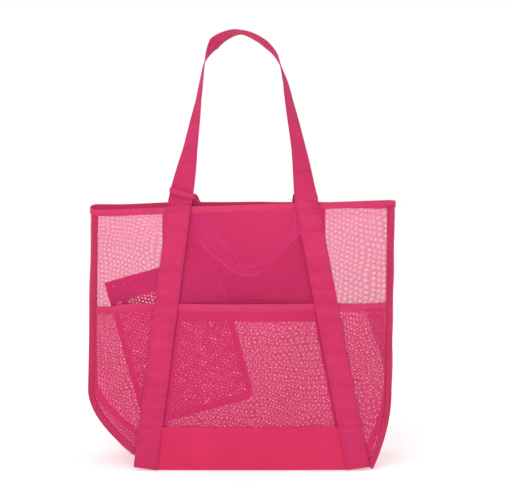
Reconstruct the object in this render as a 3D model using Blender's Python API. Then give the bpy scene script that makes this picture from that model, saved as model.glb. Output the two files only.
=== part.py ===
"""Mesh beach bag with webbing handles, front pockets, an inner pocket and a loose zip pouch.

Metres, +Z up, +X to the right seen from the front, +Y to the rear.
The origin is on the ground under the bag's middle.
"""

import math

import bmesh
import bpy
from mathutils import Matrix, Vector

# Driving dimensions of the bag.
EDGE_LEFT = -0.2337  # inner edge of the left seam binding, upright
EDGE_RIGHT = 0.2290  # inner edge of the right seam binding above the lower corner
EDGE_RIGHT_LEAN = 0.0310  # the right edge leans out by this much per metre
SHAPE_HALF = 0.2420  # half width over which the panels belly out
RIM_MIDDLE = 0.4190  # front rim height at the middle
RIM_SLOPE = 0.0340  # the front rim droops to the left by this much per metre
REAR_RIM = 0.4240  # rear rim height
SEAM_TOP = 0.0110  # half gusset width at the rim
SEAM_BOTTOM = 0.0670  # half gusset width at the ground
BELLY_TOP = 0.0570  # half depth at the rim, in the middle
BELLY_BOTTOM = 0.0700  # half depth at the ground, in the middle
GAP = 0.0003  # between pieces that touch
RIM_CLEAR = 0.0018  # under the rim binding at the sides, where it slopes

# Fabrics and tapes.
MESH = 0.0010
CLOTH = 0.0009
BINDING_WIDTH = 0.0110
BINDING = 0.0030
WEBBING_WIDTH = 0.0380
WEBBING = 0.0018
STRAP_OVER_RIM = 0.0040  # a sewn strap ends this far over the rim
STITCH_WIDTH = 0.0010
STITCH_DEPTH = 0.0004
STITCH_HALF = 0.0165  # half width of the stitched rectangle on a strap
STITCH_LOW = 0.3720
STITCH_HIGH = 0.4030
POCKET_TOP = 0.2500
HEM_HEIGHT = 0.0125
HEM = 0.0016
POCKET_BULGE = 0.0105
BAND_TOP = 0.0680

# How far in front of a panel's middle each layer starts.
POCKET_OFFSET = 0.0010
BAND_OFFSET = 0.0024
STRAP_OFFSET = 0.0036
REAR_STRAP_OFFSET = 0.0020

# Lower corners as quadratic curves: start height, height of the pull point, end (x, z).
CORNER_START = 0.1250
CORNER_LEFT = (0.0780, -0.1250, 0.0060)
CORNER_RIGHT = (0.0700, 0.1985, 0.0060)

# Gussets: how far the mesh bulges out, and the extra bulge low on the left.
GUSSET_BULGE = 0.0075
FOOT_BULGE = 0.0150
FOOT_BULGE_HEIGHT = 0.0360
FOOT_BULGE_REACH = 0.0340
GUSSET_FLAT = 0.0180  # the bulge fades out over this height at the foot
GUSSET_INSET = 0.0008  # between a gusset's edge and the seam binding

# Floor.
FLOOR_MIDDLE = 0.0360
FLOOR_FLAT = 0.0900
FLOOR_RISE = 0.0045
FLOOR_RISE_OVER = 0.0750  # it lifts by FLOOR_RISE over this length
FLOOR = 0.0012
FLOOR_INSET = 0.0024  # the floor's edge lies inside the seam bindings

# Strap centre lines: x at the ground and change of x per metre of height.
STRAP_LEFT = (-0.1512, 0.1262)
STRAP_RIGHT = (0.1850, -0.1900)

# Inner pocket on the rear panel.
INNER_LEFT = -0.1350
INNER_RIGHT = 0.1410
INNER_BOTTOM = 0.2190
INNER_TOP = 0.4090
INNER_BULGE = 0.0080
INNER_START = 0.0014  # from the middle of the rear panel to the pocket's nearest face

# Where the rear handle bends over the rear rim.
BEND_INSIDE = 0.0390  # its distance from the bag's middle on the inside
BEND_OVER_RIM = 0.0048
BEND_HEIGHT = 0.0080
BEND_END = 0.4210
BEND_NARROWS = 0.0060  # the webbing gathers by this much on its way over

# Zip pouch.
POUCH_CENTRE = Vector((-0.1030, 0.0120, 0.1950))
POUCH_TILT = math.radians(15.5)
POUCH_WIDTH = 0.1900
POUCH_HEIGHT = 0.2500
POUCH_BORDER = 0.0110
POUCH_BORDER_DEPTH = 0.0040
POUCH_NEAR = 0.0008  # from the pouch's middle to a panel's inner face
POUCH_FAR = 0.0017
ZIP_TAPE = 0.0105
ZIP_TEETH = 0.0040
SLIDER_X = -0.0700
PULL_LENGTH = 0.0240
PULL_Y = -0.0062

LOWEST = (0.0060, 0.0120, 0.0200, 0.0300, 0.0420, 0.0550, BAND_TOP)
HEIGHTS = LOWEST + (0.0810, 0.0950, 0.1100, 0.1250, 0.1600, 0.1900, 0.2200, POCKET_TOP)
UPPER = (POCKET_TOP + HEM_HEIGHT, 0.3000, 0.3400, 0.3750)
COLUMNS = (4, 2, 8, 2, 4)  # cells between the seam, strap edges and the other seam

PINK = (0.70, 0.036, 0.115)


def clear_scene():
    for old in list(bpy.data.objects):
        bpy.data.objects.remove(old, do_unlink=True)


def material(name, colour, roughness, metallic=0.0, alpha=1.0):
    made = bpy.data.materials.get(name)
    if made is None:
        made = bpy.data.materials.new(name)
        made.use_nodes = True
        shader = made.node_tree.nodes["Principled BSDF"]
        shader.inputs["Base Color"].default_value = (*colour, 1.0)
        shader.inputs["Roughness"].default_value = roughness
        shader.inputs["Metallic"].default_value = metallic
        shader.inputs["Alpha"].default_value = alpha
    return made


def mesh_fabric():
    return material("pink_mesh", (0.80, 0.09, 0.20), 0.7, alpha=0.6)


def cloth():
    return material("pink_cloth", PINK, 0.8)


def webbing():
    return material("pink_webbing", (0.68, 0.034, 0.13), 0.75)


def tape():
    return material("pink_binding", (0.60, 0.035, 0.12), 0.75)


def thread():
    return material("pink_thread", (0.75, 0.05, 0.16), 0.6)


def zip_plastic():
    return material("pink_zip", (0.55, 0.03, 0.10), 0.45)


def painted_metal():
    return material("pink_metal", (0.58, 0.03, 0.10), 0.35, metallic=0.3)


def finish(name, bm, look, parent=None, origin=None):
    """Closes the shape, gives it its look and hangs it on its parent."""
    bmesh.ops.remove_doubles(bm, verts=bm.verts, dist=1e-6)
    bmesh.ops.recalc_face_normals(bm, faces=bm.faces)
    made = bpy.data.meshes.new(name)
    if origin is not None:
        bmesh.ops.translate(bm, vec=-origin, verts=bm.verts)
    bm.to_mesh(made)
    bm.free()
    thing = bpy.data.objects.new(name, made)
    bpy.context.scene.collection.objects.link(thing)
    if origin is not None:
        thing.location = origin
    made.materials.append(look)
    made.shade_smooth()
    made.set_sharp_from_angle(angle=math.radians(40))
    if parent is not None:
        bpy.context.view_layer.update()
        thing.parent = parent
        thing.matrix_parent_inverse = parent.matrix_world.inverted()
    return thing


def sheet(name, columns, rows, place, look, parent=None, origin=None):
    """A closed sheet: a grid whose corners place() puts at its near and far face."""
    bm = bmesh.new()
    across, up = len(columns) - 1, len(rows) - 1
    bmesh.ops.create_grid(bm, x_segments=across, y_segments=up, size=0.5)
    made = bmesh.ops.extrude_face_region(bm, geom=bm.faces[:])
    far = {g for g in made["geom"] if isinstance(g, bmesh.types.BMVert)}
    for v in bm.verts:
        column, row = round((v.co.x + 0.5) * across), round((v.co.y + 0.5) * up)
        v.co = place(columns[column], rows[row], v in far)
    return finish(name, bm, look, parent, origin)


def sweep(name, rings, look, closed=False, parent=None, origin=None):
    """A solid through rings of points, closed on itself or with a flat end at both ends."""
    bm = bmesh.new()
    loops = [[bm.verts.new(p) for p in ring] for ring in rings]
    count = len(rings[0])
    pairs = list(zip(loops, loops[1:]))
    if closed:
        pairs.append((loops[-1], loops[0]))
    for one, two in pairs:
        for k in range(count):
            n = (k + 1) % count
            bm.faces.new((one[k], one[n], two[n], two[k]))
    if not closed:
        bm.faces.new(loops[0])
        bm.faces.new(loops[-1])
    return finish(name, bm, look, parent, origin)


def spread(knots, counts):
    """Values between the knots, with the given number of steps between each two."""
    found = [knots[0]]
    for a, b, n in zip(knots, knots[1:], counts):
        found += [a + (b - a) * k / n for k in range(1, n + 1)]
    return found


def rim(x, side):
    """Height of the rim's top edge, side -1 in front and +1 behind."""
    front = RIM_MIDDLE + RIM_SLOPE * x
    return front if side < 0 else REAR_RIM


def belly(x, z):
    """Half depth of the bag at a place on a panel."""
    share = z / RIM_MIDDLE
    seam = SEAM_BOTTOM + (SEAM_TOP - SEAM_BOTTOM) * share
    middle = BELLY_BOTTOM + (BELLY_TOP - BELLY_BOTTOM) * share * share
    return seam + (middle - seam) * (1.0 - abs(x / SHAPE_HALF) ** 2.4)


def strap_x(side_x, z):
    foot, lean = STRAP_LEFT if side_x < 0 else STRAP_RIGHT
    return foot + lean * z


def corner_curve(side_x, t):
    """A point of a lower corner's curve, in x and z, and the curve's outward direction there."""
    edge = EDGE_LEFT if side_x < 0 else EDGE_RIGHT
    pull, end_x, end_z = CORNER_LEFT if side_x < 0 else CORNER_RIGHT
    a, b, c = Vector((edge, CORNER_START)), Vector((edge, pull)), Vector((end_x, end_z))
    spot = a * (1 - t) ** 2 + b * 2 * t * (1 - t) + c * t * t
    along = ((b - a) * (1 - t) + (c - b) * t).normalized()
    return spot, Vector((-along.y, along.x)) * side_x


def seam_point(side_x, z):
    """Inner edge of a seam binding at a height, in x and z, and its outward direction."""
    if z >= CORNER_START:
        lean = 0.0 if side_x < 0 else EDGE_RIGHT_LEAN
        edge = EDGE_LEFT if side_x < 0 else EDGE_RIGHT
        return Vector((edge + lean * (z - CORNER_START), z)), Vector((side_x, 0.0))
    low, high = 0.0, 1.0
    for _ in range(40):
        t = (low + high) / 2
        if corner_curve(side_x, t)[0].y > z:
            low = t
        else:
            high = t
    return corner_curve(side_x, high)


def edge_x(side_x, z):
    return seam_point(side_x, z)[0].x


def floor_z(x):
    """Height of the floor's underside, which lifts towards its ends."""
    over = max(0.0, abs(x - FLOOR_MIDDLE) - FLOOR_FLAT) / FLOOR_RISE_OVER
    return FLOOR_RISE * over * over


def knots(z):
    """Panel edges and strap edges at a height; a strap's foot may reach past the panel's edge."""
    half = WEBBING_WIDTH / 2
    left, right = strap_x(-1, z), strap_x(1, z)
    start, end = edge_x(-1, z) + GAP, edge_x(1, z) - GAP
    return (
        start,
        max(left - half, start + 0.004),
        max(left + half, start + 0.008),
        min(right - half, end - 0.008),
        min(right + half, end - 0.004),
        end,
    )


def column_x(u, z):
    """Turns a column number, whole at the seams and strap edges, into x at a height."""
    k = knots(z)
    cell = min(int(u), len(k) - 2)
    return k[cell] + (k[cell + 1] - k[cell]) * (u - cell)


def on_panel(x, z, side, offset):
    return Vector((x, side * (belly(x, z) + offset), z))


def panel_rows(side):
    """Rows of a whole panel; the last one follows the rim binding's lower edge."""
    return list(HEIGHTS) + list(UPPER) + [None]


def row_height(row, x, side):
    if row is None:
        return rim(x, side) - BINDING_WIDTH - GAP
    return row + floor_z(x) * max(0.0, 1.0 - row / 0.04)


def whole_panel(name, side):
    columns = spread(range(6), COLUMNS)

    def place(u, row, far):
        z_guess = RIM_MIDDLE - BINDING_WIDTH if row is None else row
        x = column_x(u, z_guess)
        z = row_height(row, x, side)
        return on_panel(x, z, side, MESH / 2 if far else -MESH / 2)

    sheet(name, columns, panel_rows(side), place, mesh_fabric())


def pocket_offset(u, z):
    """The pockets stand off the panel between the straps, most at their mouths."""
    cell = min(int(u), 4)
    if cell % 2:
        return POCKET_OFFSET
    rise = min(1.0, max(0.0, (z - BAND_TOP) / (POCKET_TOP - BAND_TOP)))
    return POCKET_OFFSET + POCKET_BULGE * rise ** 1.5 * math.sin(math.pi * (u - cell)) ** 0.8


def front_pocket():
    columns = spread(range(6), COLUMNS)

    def place(u, row, far):
        x = column_x(u, row)
        z = row_height(row, x, -1)
        return on_panel(x, z, -1, pocket_offset(u, row) + (CLOTH if far else 0.0))

    sheet("front_pocket", columns, HEIGHTS, place, mesh_fabric())


def pocket_hem():
    columns = spread(range(6), COLUMNS)
    rows = (POCKET_TOP + GAP, POCKET_TOP + HEM_HEIGHT)

    def place(u, row, far):
        offset = pocket_offset(u, row) + (HEM if far else 0.0)
        return on_panel(column_x(u, row), row, -1, offset)

    sheet("pocket_hem", columns, rows, place, tape())


def bottom_band():
    """Plain cloth across the foot of the front, between the straps."""
    columns = spread((2, 3), (8,))
    rows = LOWEST

    def place(u, row, far):
        x = column_x(u, row)
        side_gap = GAP if u == 2 else (-GAP if u == 3 else 0.0)
        z = row_height(row, x, -1)
        return on_panel(x + side_gap, z, -1, BAND_OFFSET + (CLOTH if far else 0.0))

    sheet("front_bottom_band", columns, rows, place, cloth())


def strap_top(side_x, side):
    """Level where a sewn strap ends and its handle goes on, just over the rim."""
    return rim(strap_x(side_x, RIM_MIDDLE), side) + STRAP_OVER_RIM


def sewn_strap(name, side_x, side):
    first = 1 if side_x < 0 else 3
    columns = spread((first, first + 1), (2,))
    start = STRAP_OFFSET if side < 0 else REAR_STRAP_OFFSET
    rows = list(HEIGHTS) + list(UPPER) + [0.405, None]

    def place(u, row, far):
        x = column_x(u, RIM_MIDDLE if row is None else row)
        z = strap_top(side_x, side) if row is None else row_height(row, x, side)
        x = strap_x(side_x, z) + (u - first - 0.5) * WEBBING_WIDTH
        return on_panel(x, z, side, start + (WEBBING if far else 0.0))

    sheet(name, columns, rows, place, webbing())


def box_stitch(name, side_x, side):
    """Rectangle of stitching that holds a strap and the end of its handle at the rim."""
    start = (STRAP_OFFSET if side < 0 else REAR_STRAP_OFFSET) + WEBBING + GAP
    low, high, middle = STITCH_LOW, STITCH_HIGH, (STITCH_LOW + STITCH_HIGH) / 2
    corners = ((1, high), (0, high), (-1, high), (-1, middle), (-1, low), (0, low), (1, low), (1, middle))
    rings = []
    for across, z in corners:
        out_x = STITCH_WIDTH / 2 * across
        out_z = STITCH_WIDTH / 2 * (1 if z > middle else -1 if z < middle else 0)
        ring = []
        for push, depth in ((1, 0.0), (1, STITCH_DEPTH), (-1, STITCH_DEPTH), (-1, 0.0)):
            x = strap_x(side_x, z) + STITCH_HALF * across + out_x * push
            ring.append(on_panel(x, z + out_z * push, side, start + depth))
        rings.append(ring)
    sweep(name, rings, thread(), closed=True)


def seam_heights(side_x):
    """Heights along a side seam from the ground up; None stands for the rim binding's lower edge."""
    lowest = HEIGHTS[1:] if side_x < 0 else HEIGHTS
    return list(lowest) + list(UPPER) + [None]


def seam_binding(name, side_x, side):
    """Folded tape along a side seam, from under the rim round the lower corner."""
    edge = EDGE_LEFT if side_x < 0 else EDGE_RIGHT

    def place(across, row, far):
        z = rim(edge, side) - BINDING_WIDTH - RIM_CLEAR if row is None else row
        spot, out = seam_point(side_x, z)
        spot = spot + out * (GAP + BINDING_WIDTH * across)
        return on_panel(spot.x, spot.y, side, BINDING / 2 if far else -BINDING / 2)

    sheet(name, (0.0, 0.5, 1.0), seam_heights(side_x), place, tape())


def gusset(name, side_x):
    """Mesh side that tapers up to the rim and turns under the lower corner."""
    edge = EDGE_LEFT if side_x < 0 else EDGE_RIGHT
    foot_bulge = FOOT_BULGE if side_x < 0 else 0.0
    heights = seam_heights(side_x)
    lowest = heights[0]

    def place(across, row, far):
        blend = (across + 1) / 2
        top = rim(edge, -1) * (1 - blend) + rim(edge, 1) * blend
        z = top - BINDING_WIDTH - RIM_CLEAR if row is None else row
        spot, out = seam_point(side_x, z)
        bulge = GUSSET_BULGE + foot_bulge * math.exp(-(((z - FOOT_BULGE_HEIGHT) / FOOT_BULGE_REACH) ** 2))
        bulge *= min(1.0, (z - lowest) / GUSSET_FLAT)
        middle = spot + out * (GAP + BINDING_WIDTH * 0.4)
        half = belly(middle.x, middle.y) - BINDING / 2 - GUSSET_INSET
        flat = middle + out * (bulge * (1.0 - across * across) + (MESH if far else 0.0))
        return Vector((flat.x, across * half, flat.y))

    sheet(name, (-1.0, -0.7, -0.35, 0.0, 0.35, 0.7, 1.0), heights, place, mesh_fabric())


def floor_panel():
    """Cloth floor, flat in the middle and lifting towards both ends."""
    start, end = CORNER_LEFT[1] - 0.0090, CORNER_RIGHT[1] + 0.0020
    flat_left, flat_right = FLOOR_MIDDLE - FLOOR_FLAT, FLOOR_MIDDLE + FLOOR_FLAT
    columns = spread((start, flat_left, flat_right, end), (4, 4, 4))
    rows = (-1.0, -0.5, 0.0, 0.5, 1.0)

    def place(x, across, far):
        half = belly(x, 0.0) - FLOOR_INSET
        return Vector((x, across * half, floor_z(x) + (FLOOR if far else 0.0)))

    sheet("floor_panel", columns, rows, place, cloth())


def rim_path():
    """Points along the rim's middle with their outward directions."""
    start = edge_x(-1, RIM_MIDDLE) - BINDING_WIDTH / 2
    end = edge_x(1, RIM_MIDDLE) + BINDING_WIDTH / 2
    row = spread((start, end), (18,))
    front = [Vector((x, -belly(x, rim(x, -1)), rim(x, -1))) for x in row]
    rear = [Vector((x, belly(x, rim(x, 1)), rim(x, 1))) for x in reversed(row)]
    path = list(front)
    for side_x, start, end in ((1, front[-1], rear[0]), (-1, rear[-1], front[0])):
        if side_x < 0:
            path += rear
        for k in range(1, 6):
            share = k / 6
            spot = start.lerp(end, share)
            spot.x += side_x * GUSSET_BULGE * math.sin(math.pi * share) ** 0.8
            path.append(spot)
    count = len(path)
    outs = []
    for k in range(count):
        along = path[(k + 1) % count] - path[k - 1]
        outs.append(Vector((along.y, -along.x, 0.0)).normalized())
    return path, outs


def rim_binding():
    path, outs = rim_path()
    down = Vector((0.0, 0.0, -BINDING_WIDTH))
    rings = []
    for spot, out in zip(path, outs):
        a, b = spot + out * BINDING / 2, spot - out * BINDING / 2
        rings.append((a, b, b + down, a + down))
    sweep("rim_binding", rings, tape(), closed=True)


def inner_pocket():
    """Cloth pocket hung inside the rear panel, open at the rim."""
    columns = spread((INNER_LEFT, INNER_RIGHT), (10,))
    rows = spread((INNER_BOTTOM, INNER_TOP), (6,))

    def stand_off(x, z):
        across = (x - INNER_LEFT) / (INNER_RIGHT - INNER_LEFT)
        rise = (z - INNER_BOTTOM) / (INNER_TOP - INNER_BOTTOM)
        return INNER_START + INNER_BULGE * min(1.0, rise * 1.6) * math.sin(math.pi * across) ** 0.7

    def place(x, z, far):
        return on_panel(x, z, 1, -stand_off(x, z) - (CLOTH if far else 0.0))

    sheet("inner_pocket", columns, rows, place, cloth())


def band_rings(path, faces, widths, thickness):
    """Four corners of a flat band at each point of its path, from the way its face looks."""
    rings = []
    for k, spot in enumerate(path):
        after, before = path[min(k + 1, len(path) - 1)], path[max(k - 1, 0)]
        along = (after - before).normalized()
        face = (faces[k] - along * faces[k].dot(along)).normalized()
        wide = along.cross(face) * widths[k] / 2
        deep = face * thickness / 2
        rings.append((spot - wide - deep, spot + wide - deep, spot + wide + deep, spot - wide + deep))
    return rings


def smooth_path(points, per_span):
    """A Catmull-Rom curve through the points."""
    ends = [points[0] * 2 - points[1]] + list(points) + [points[-1] * 2 - points[-2]]
    found = []
    for k in range(1, len(ends) - 2):
        p, a, b, n = ends[k - 1 : k + 3]
        for j in range(per_span):
            t = j / per_span
            spot = a * 2 + (b - p) * t + (p * 2 - a * 5 + b * 4 - n) * t * t
            spot += (a * 3 - p - b * 3 + n) * t * t * t
            found.append(spot / 2)
    found.append(points[-1].copy())
    return found


# The front handle's loop, up the left side and down the right, in x and z.
HANDLE_LOOP = (
    (-0.0935, 0.4442), (-0.0815, 0.5063), (-0.0679, 0.5860), (-0.0631, 0.6176), (-0.0571, 0.6499),
    (-0.0425, 0.6761), (-0.0193, 0.6907), (0.0008, 0.6938), (0.0200, 0.6872), (0.0401, 0.6741),
    (0.0572, 0.6544), (0.0699, 0.6176), (0.0762, 0.5860), (0.0922, 0.5063), (0.1011, 0.4442),
)
TWIST_START = 0.4300
TWIST_END = 0.6500


def handle_depth():
    return -(belly(strap_x(-1, RIM_MIDDLE), RIM_MIDDLE) + STRAP_OFFSET + WEBBING / 2)


def front_handle(parent):
    """Webbing loop; each leg turns a quarter on its way up, so the crown lies flat."""
    y = handle_depth()
    feet = [strap_top(side_x, -1) + GAP for side_x in (-1, 1)]
    loop = [(strap_x(-1, feet[0]), feet[0]), *HANDLE_LOOP, (strap_x(1, feet[1]), feet[1])]
    path = smooth_path([Vector((x, y, z)) for x, z in loop], 3)
    faces = []
    for k, spot in enumerate(path):
        along = (path[min(k + 1, len(path) - 1)] - path[max(k - 1, 0)]).normalized()
        outward = Vector((-along.z, 0.0, along.x))
        share = min(1.0, max(0.0, (spot.z - TWIST_START) / (TWIST_END - TWIST_START)))
        turn = math.radians(90) * math.sin(share * math.pi / 2)
        faces.append(Vector((0.0, -1.0, 0.0)) * math.cos(turn) + outward * math.sin(turn))
    rings = band_rings(path, faces, [WEBBING_WIDTH] * len(path), WEBBING)
    for ring, foot in ((rings[0], feet[0]), (rings[-1], feet[1])):
        for corner in ring:
            corner.z = foot
    sweep("front_handle", rings, webbing(), parent=parent, origin=parent.location.copy())


WRAP_CENTRE = Vector((-0.0932, 0.0, 0.4405))
WRAP_HALF = (0.0215, 0.0085)
WRAP_TILT = math.radians(14)
WRAP_BAND = 0.0090


def handle_wrap(parent):
    """The rear handle's turn round the front handle's left leg, folded narrow."""
    centre = Vector((WRAP_CENTRE.x, handle_depth(), WRAP_CENTRE.z))
    rings = []
    for k in range(20):
        angle = 2 * math.pi * k / 20
        flat = Vector((math.cos(angle), math.sin(angle), 0.0))
        flat.x = math.copysign(abs(flat.x) ** 0.7, flat.x)
        flat.y = math.copysign(abs(flat.y) ** 0.7, flat.y)
        out = Vector((flat.x * 0.4, flat.y, 0.0)).normalized()
        lift = Vector((0.0, 0.0, -flat.x * WRAP_HALF[0] * math.tan(WRAP_TILT)))
        spot = centre + Vector((flat.x * WRAP_HALF[0], flat.y * WRAP_HALF[1], 0.0)) + lift
        up = Vector((0.0, 0.0, WRAP_BAND / 2))
        deep = out * WEBBING / 2
        rings.append((spot + deep - up, spot + deep + up, spot - deep + up, spot - deep - up))
    sweep("rear_handle_wrap", rings, webbing(), closed=True, parent=parent)


# The rear handle from its rear right end down to the bend and up to the front handle.
DROP_PATH = (
    (0.1045, 0.0385, 0.4200), (0.0985, 0.0330, 0.3840), (0.0800, 0.0230, 0.3520), (0.0520, 0.0110, 0.3250),
    (0.0150, 0.0000, 0.3130), (-0.0180, -0.0100, 0.3240), (-0.0400, -0.0190, 0.3440), (-0.0560, -0.0290, 0.3700),
    (-0.0660, -0.0390, 0.3980), (-0.0720, -0.0450, 0.4150),
)
DROP_WIDTH = (0.030, 0.034, 0.036, 0.036, 0.034, 0.036, 0.036, 0.034, 0.026, 0.017)
DROP_TURN = (0, 35, 62, 50, 20, 0, 0, 0, 0, 0)  # degrees the face turns away from the front


def spread_values(values, per_span):
    found = []
    for a, b in zip(values, values[1:]):
        found += [a + (b - a) * j / per_span for j in range(per_span)]
    return found + [values[-1]]


def rear_handle(parent):
    path = smooth_path([Vector(p) for p in DROP_PATH], 3)
    widths = spread_values(DROP_WIDTH, 3)
    turns = spread_values(DROP_TURN, 3)
    faces = []
    for k, turn in enumerate(turns):
        along = (path[min(k + 1, len(path) - 1)] - path[max(k - 1, 0)]).normalized()
        front = Vector((0.0, -1.0, 0.0))
        front = (front - along * front.dot(along)).normalized()
        side = along.cross(front)
        angle = math.radians(turn)
        faces.append(front * math.cos(angle) + side * math.sin(angle))
    rings = band_rings(path, faces, widths, WEBBING)
    for corner in rings[0]:
        corner.z = DROP_PATH[0][2]
    sweep("rear_handle_drop", rings, webbing(), parent=parent, origin=parent.location.copy())


# The rear handle's way back from the front handle to its rear left end.
RETURN_PATH = (
    (-0.0980, -0.0440, 0.4180), (-0.0985, -0.0330, 0.4060), (-0.0990, -0.0150, 0.3980),
    (-0.0990, 0.0080, 0.3970), (-0.0985, 0.0260, 0.4040), (-0.0980, 0.0370, 0.4170),
)


def handle_return():
    path = smooth_path([Vector(p) for p in RETURN_PATH], 3)
    faces = [Vector((0.0, 0.0, 1.0))] * len(path)
    rings = band_rings(path, faces, [0.020] * len(path), WEBBING)
    sweep("rear_handle_return", rings, webbing())


def over_rim(name, side_x, x):
    """An end of the rear handle where it bends over the rear rim into the bag."""
    panel = belly(x, REAR_RIM)
    outside = panel + REAR_STRAP_OFFSET + WEBBING / 2
    inside = BEND_INSIDE
    top = REAR_RIM + BEND_OVER_RIM
    points = []
    for k in range(9):
        angle = math.pi * k / 8
        middle, half = (outside + inside) / 2, (outside - inside) / 2
        points.append(Vector((x, middle + half * math.cos(angle), top + BEND_HEIGHT * math.sin(angle))))
    points.append(Vector((x, inside, BEND_END)))
    centre = Vector((x, (outside + inside) / 2, top))
    faces = [(p - centre).normalized() for p in points[:-1]] + [Vector((0.0, -1.0, 0.0))]
    widths = [WEBBING_WIDTH - BEND_NARROWS * k / 9 for k in range(10)]
    sweep(name, band_rings(points, faces, widths, WEBBING), webbing())


def pouch_frame():
    frame = bpy.data.objects.new("pouch_frame", None)
    bpy.context.scene.collection.objects.link(frame)
    frame.location = POUCH_CENTRE
    frame.rotation_euler = (0.0, -POUCH_TILT, 0.0)
    bpy.context.view_layer.update()
    return frame


def pouch_spot(x, y, z):
    """A point of the pouch, from its own centre, in world space."""
    turn = Matrix.Rotation(-POUCH_TILT, 4, "Y")
    return POUCH_CENTRE + turn @ Vector((x, y, z))


def pouch_border(parent):
    half_x, half_z = POUCH_WIDTH / 2 - POUCH_BORDER / 2, POUCH_HEIGHT / 2 - POUCH_BORDER / 2
    radius = POUCH_BORDER / 2 + 0.0001  # the inner corners stay sharp
    path, outs = [], []
    for side_x, side_z, start in ((1, 1, 0), (-1, 1, 90), (-1, -1, 180), (1, -1, 270)):
        for k in range(4):
            angle = math.radians(start + 30 * k)
            out = Vector((math.cos(angle), 0.0, math.sin(angle)))
            path.append(Vector((side_x * (half_x - radius), 0.0, side_z * (half_z - radius))) + out * radius)
            outs.append(out)
    deep = Vector((0.0, POUCH_BORDER_DEPTH / 2, 0.0))
    rings = []
    for spot, out in zip(path, outs):
        wide = out * POUCH_BORDER / 2
        corners = (spot + wide + deep, spot - wide + deep, spot - wide - deep, spot + wide - deep)
        rings.append([pouch_spot(*c) for c in corners])
    sweep("pouch_border", rings, cloth(), closed=True, parent=parent)


def pouch_plate(name, low, high, near, far, look, parent, cells=(4, 4)):
    columns = spread((low[0], high[0]), (cells[0],))
    rows = spread((low[1], high[1]), (cells[1],))

    def place(x, z, is_far):
        return pouch_spot(x, far if is_far else near, z)

    sheet(name, columns, rows, place, look, parent)


def pouch_panels(parent):
    half_x = POUCH_WIDTH / 2 - POUCH_BORDER - GAP
    half_z = POUCH_HEIGHT / 2 - POUCH_BORDER - GAP
    lower_tape = half_z - 2 * ZIP_TAPE - ZIP_TEETH - 2 * GAP
    back, front = (POUCH_NEAR, POUCH_FAR), (-POUCH_FAR, -POUCH_NEAR)
    lace = mesh_fabric()
    pouch_plate("pouch_back", (-half_x, -half_z), (half_x, half_z), *back, lace, parent)
    pouch_plate("pouch_front", (-half_x, -half_z), (half_x, lower_tape - GAP), *front, lace, parent)
    for name, low in (("zip_tape_lower", lower_tape), ("zip_tape_upper", half_z - ZIP_TAPE)):
        pouch_plate(name, (-half_x, low), (half_x, low + ZIP_TAPE), *front, tape(), parent, (4, 1))
    return lower_tape + ZIP_TAPE + GAP + ZIP_TEETH / 2


def zip_teeth(parent, z):
    half_x = POUCH_WIDTH / 2 - POUCH_BORDER - 0.004
    pouch_plate(
        "zip_teeth", (-half_x, z - ZIP_TEETH / 2), (half_x, z + ZIP_TEETH / 2), -0.0023, -0.0006,
        zip_plastic(), parent, (8, 1),
    )


def zip_slider(parent, z):
    """Slider body on the chain, a wedge seen from the front."""
    rings = []
    for dx, half in ((-0.0055, 0.0028), (-0.0040, 0.0046), (0.0040, 0.0032), (0.0055, 0.0018)):
        spots = ((half, -0.0027), (half, -0.0043), (-half, -0.0043), (-half, -0.0027))
        rings.append([pouch_spot(SLIDER_X + dx, y, z + dz) for dz, y in spots])
    sweep("zip_slider", rings, painted_metal(), parent=parent, origin=parent.matrix_world.translation.copy())


def zip_bail(parent, z):
    """Small arch on the slider that the pull swings on."""
    rings = []
    for k in range(7):
        angle = math.pi * k / 6
        ring = []
        for grow, dz in ((0.75, -0.0006), (1.25, -0.0006), (1.25, 0.0006), (0.75, 0.0006)):
            dx, y = 0.0030 * grow * math.cos(angle), -0.0046 - 0.0026 * grow * math.sin(angle)
            ring.append(pouch_spot(SLIDER_X + dx, y, z + dz))
        rings.append(ring)
    sweep("zip_bail", rings, painted_metal(), parent=parent, origin=parent.matrix_world.translation.copy())


def zip_pull(parent, z):
    """Flat tab that hangs from the slider's arch."""
    top, waist, foot = z - 0.0024, z - 0.0120, z - PULL_LENGTH
    halves = ((0.0026, top), (0.0042, waist), (0.0036, foot))
    outline = [(-half, spot) for half, spot in halves] + [(half, spot) for half, spot in reversed(halves)]
    bm = bmesh.new()
    face = bm.faces.new([bm.verts.new(pouch_spot(SLIDER_X + dx, PULL_Y, dz)) for dx, dz in outline])
    made = bmesh.ops.extrude_face_region(bm, geom=[face])
    moved = [g for g in made["geom"] if isinstance(g, bmesh.types.BMVert)]
    bmesh.ops.translate(bm, vec=Vector((0.0, -0.0014, 0.0)), verts=moved)
    finish("zip_pull", bm, painted_metal(), parent, origin=parent.matrix_world.translation.copy())


def joint_empty(name, spot, parent=None):
    empty = bpy.data.objects.new(name, None)
    bpy.context.scene.collection.objects.link(empty)
    empty.location = spot
    bpy.context.view_layer.update()
    if parent is not None:
        empty.parent = parent
        empty.matrix_parent_inverse = parent.matrix_world.inverted()
    return empty


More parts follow.
